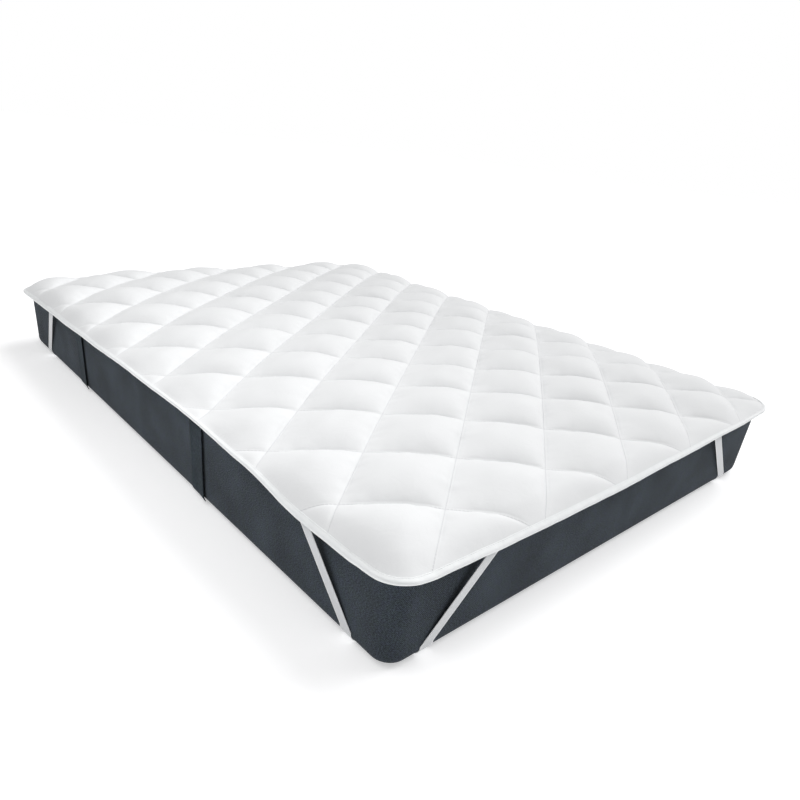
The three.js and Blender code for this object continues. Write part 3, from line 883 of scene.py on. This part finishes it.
# The mattress gives way under each elastic, from the turned edge of one face across the underside
# to that of the other
def pressTroughs(mattress):
    clear = mattressBuild["troughClearance"]
    skipped = len(elastic["turns"])
    for strap in straps:
        stations = strapStations(strap)[skipped:-skipped]
        bm = bmesh.new()
        bmesh.ops.create_grid(bm, x_segments=len(stations) - 1, y_segments=1, size=1)
        for vert in bm.verts:
            inner, outer = stations[round((vert.co.x + 1) / 2 * (len(stations) - 1))]
            beside = (outer - inner).normalized() * clear
            vert.co = outer + beside if vert.co.y > 0 else inner - beside
        thickenBand(bm, elastic["thickness"] + 2 * clear)
        mesh = bpy.data.meshes.new("trough")
        bm.to_mesh(mesh)
        bm.free()
        trough = bpy.data.objects.new("trough", mesh)
        bpy.context.scene.collection.objects.link(trough)
        cut = mattress.modifiers.new("trough", "BOOLEAN")
        cut.operation = "DIFFERENCE"
        cut.solver = "EXACT"
        cut.object = trough
        graph = bpy.context.evaluated_depsgraph_get()
        result = bpy.data.meshes.new_from_object(mattress.evaluated_get(graph), depsgraph=graph)
        mattress.modifiers.clear()
        old = mattress.data
        mattress.data = result
        result.name = old.name
        bpy.data.meshes.remove(old)
        bpy.data.objects.remove(trough)
        bpy.data.meshes.remove(mesh)


mattress = makeMattress(makeKnit("melange_mattress_knit", mattressLook))
pressTroughs(mattress)
print("troughs pressed,", len(mattress.data.polygons), "faces")

elasticCloth = makeElasticCloth()
for strap in straps:
    makeStrap(strap, elasticCloth)

# Upright handle bands on the left face, sewn along one edge and bowed out to the other
handleBand = dict(
    width=62 * mm,
    thickness=2 * mm,
    gap=0.3 * mm,
    lift=3.4 * mm,
    bowPower=1.9,
    bottomTurn=30,  # degrees round the turned edges of the mattress
    topTurn=20,
    ripple=0.25 * mm,
    rippleAcross=9,  # radians over the width
    rippleUp=31,  # radians a metre
    stepsAcross=16,
    stepsUnder=6,
    stepsUp=20,
    stepsOver=3,
)
handles = [
    dict(name="handle_head", y=421 * mm),
    dict(name="handle_foot", y=-313 * mm),
]
# Darker than the mattress knit, with strong upright ribs: partly the band's own ribbed knit, partly
# painted shade along the band and painted shadow lines of its folds
handleLookWithShade = dict(
    dark="#12161a", slate="#3d4854", teal="#3a494f", rib=5.0, slant=0.0, ribShow=0.28,
    breakScale=40.0, breakBy=1.0, fleckTurn=0.0, fleckScale=(420.0, 160.0, 1.0),
    mottleScale=60.0, cloudShow=0.3, darkest=0.3, palest=1.05,
)


def makeHandle(handle, material):
    edge = bed["edgeRadius"]
    straight = bed["sideHeight"] - 2 * edge
    under, up, over = handleBand["stepsUnder"], handleBand["stepsUp"], handleBand["stepsOver"]
    rows = [(-handleBand["bottomTurn"] * (1 - k / under), edge) for k in range(under)]
    rows += [(0, edge + straight * k / up) for k in range(up + 1)]
    rows += [(handleBand["topTurn"] * k / over, edge + straight) for k in range(1, over + 1)]
    bm = bmesh.new()
    bmesh.ops.create_grid(
        bm, x_segments=handleBand["stepsAcross"], y_segments=len(rows) - 1, size=1)
    knit = bm.loops.layers.uv.new("knit")
    spots = {}
    for vert in bm.verts:
        share = (vert.co.x + 1) / 2
        angle, level = rows[round((vert.co.y + 1) / 2 * (len(rows) - 1))]
        turned = math.radians(angle)
        radius = edge + handleBand["gap"] + handleBand["lift"] * share ** handleBand["bowPower"]
        waveAcross = math.sin(share * handleBand["rippleAcross"])
        radius += handleBand["ripple"] * waveAcross * math.sin(level * handleBand["rippleUp"])
        spots[vert] = (handle["y"] + handleBand["width"] * share, level + edge * turned)
        vert.co = (-(bed["width"] / 2 - edge) - radius * math.cos(turned),
                   handle["y"] + handleBand["width"] * (0.5 - share),
                   level + radius * math.sin(turned))
    for face in bm.faces:
        for loop in face.loops:
            loop[knit].uv = spots[loop.vert]
    bm.normal_update()
    if sum(face.normal.x for face in bm.faces) > 0:
        bmesh.ops.reverse_faces(bm, faces=bm.faces[:])
    bmesh.ops.solidify(bm, geom=bm.faces[:], thickness=-handleBand["thickness"])
    bmesh.ops.recalc_face_normals(bm, faces=bm.faces[:])
    end = handle["name"].split("_")[1]
    piece = finishPiece(bm, "handleBand" + end.title(), material, handle["name"])


handleClothWithShade = makeKnit("ribbed_handle_knit_with_shade", handleLookWithShade)
for handle in handles:
    makeHandle(handle, handleClothWithShade)

# Studio: a pale, faintly glowing floor under an even sky, one broad soft lamp high on the right and
# a nearer one on the left whose light fades across the bed
studio = dict(
    floorSize=60,
    floor="#e9e9ea",
    floorCloud="#ebebec",
    floorGlow=0.44,
    sky="#ffffff",
    skyStrength=0.38,
    backdropStrength=1.0,  # the same sky where it is seen, not where it lights
    rightFrom=(1.0, 0.0, 1.0),
    rightSpread=50,  # degrees
    rightStrength=2.35,
    leftPlace=(-1.3, -0.3, 1.7),
    leftAim=(0.0, -0.3, 0.2),
    leftSize=1.4,
    leftPower=11.0,
)


def makeFloor():
    bm = bmesh.new()
    bmesh.ops.create_grid(bm, x_segments=8, y_segments=8, size=studio["floorSize"] / 2)
    mesh = bpy.data.meshes.new("floor")
    bm.to_mesh(mesh)
    bm.free()
    floor = bpy.data.objects.new("floor", mesh)
    bpy.context.scene.collection.objects.link(floor)
    material, surface = newMaterial("painted_studio_floor", {
        "Roughness": 0.9,
        "Emission Color": screenColour(studio["sky"]),
        "Emission Strength": studio["floorGlow"],
    })
    place = addNode(material, "ShaderNodeTexCoord").outputs["Object"]
    clouds = addNoise(material, place, "3D", Scale=3.0, Detail=2.0)
    colour = blend(material, clouds, studio["floor"], studio["floorCloud"])
    joinSurface(material, surface, Base_Color=colour)
    mesh.materials.append(material)


# A lamp whose light comes from the direction given
def addLamp(name, kind, direction, settings):
    data = bpy.data.lights.new(name, kind)
    for setting, value in settings.items():
        setattr(data, setting, value)
    lamp = bpy.data.objects.new(name, data)
    bpy.context.scene.collection.objects.link(lamp)
    lamp.rotation_mode = "QUATERNION"
    lamp.rotation_quaternion = direction.to_track_quat("Z", "Y")
    return lamp


def makeLamps():
    addLamp("lampRight", "SUN", Vector(studio["rightFrom"]),
            {"angle": math.radians(studio["rightSpread"]), "energy": studio["rightStrength"]})
    place = Vector(studio["leftPlace"])
    left = addLamp("lampLeft", "AREA", place - Vector(studio["leftAim"]),
                   {"shape": "DISK", "size": studio["leftSize"], "energy": studio["leftPower"]})
    left.location = place
    left.visible_camera = False


def makeSky():
    world = bpy.data.worlds.new("studio")
    world.use_nodes = True
    colour = screenColour(studio["sky"])
    sky = world.node_tree.nodes["Background"]
    sky.inputs["Color"].default_value = colour
    sky.inputs["Strength"].default_value = studio["skyStrength"]
    backdrop = addNode(world, "ShaderNodeBackground", None,
                       {"Color": colour, "Strength": studio["backdropStrength"]})
    ray = addNode(world, "ShaderNodeLightPath")
    both = addNode(world, "ShaderNodeMixShader", None,
                   {0: ray.outputs["Is Camera Ray"], 1: sky.outputs[0], 2: backdrop.outputs[0]})
    world.node_tree.links.new(both.outputs[0], world.node_tree.nodes["World Output"].inputs[0])
    bpy.context.scene.world = world
    bpy.context.scene.view_settings.view_transform = "Standard"


makeFloor()
makeLamps()
makeSky()
print("studio set")
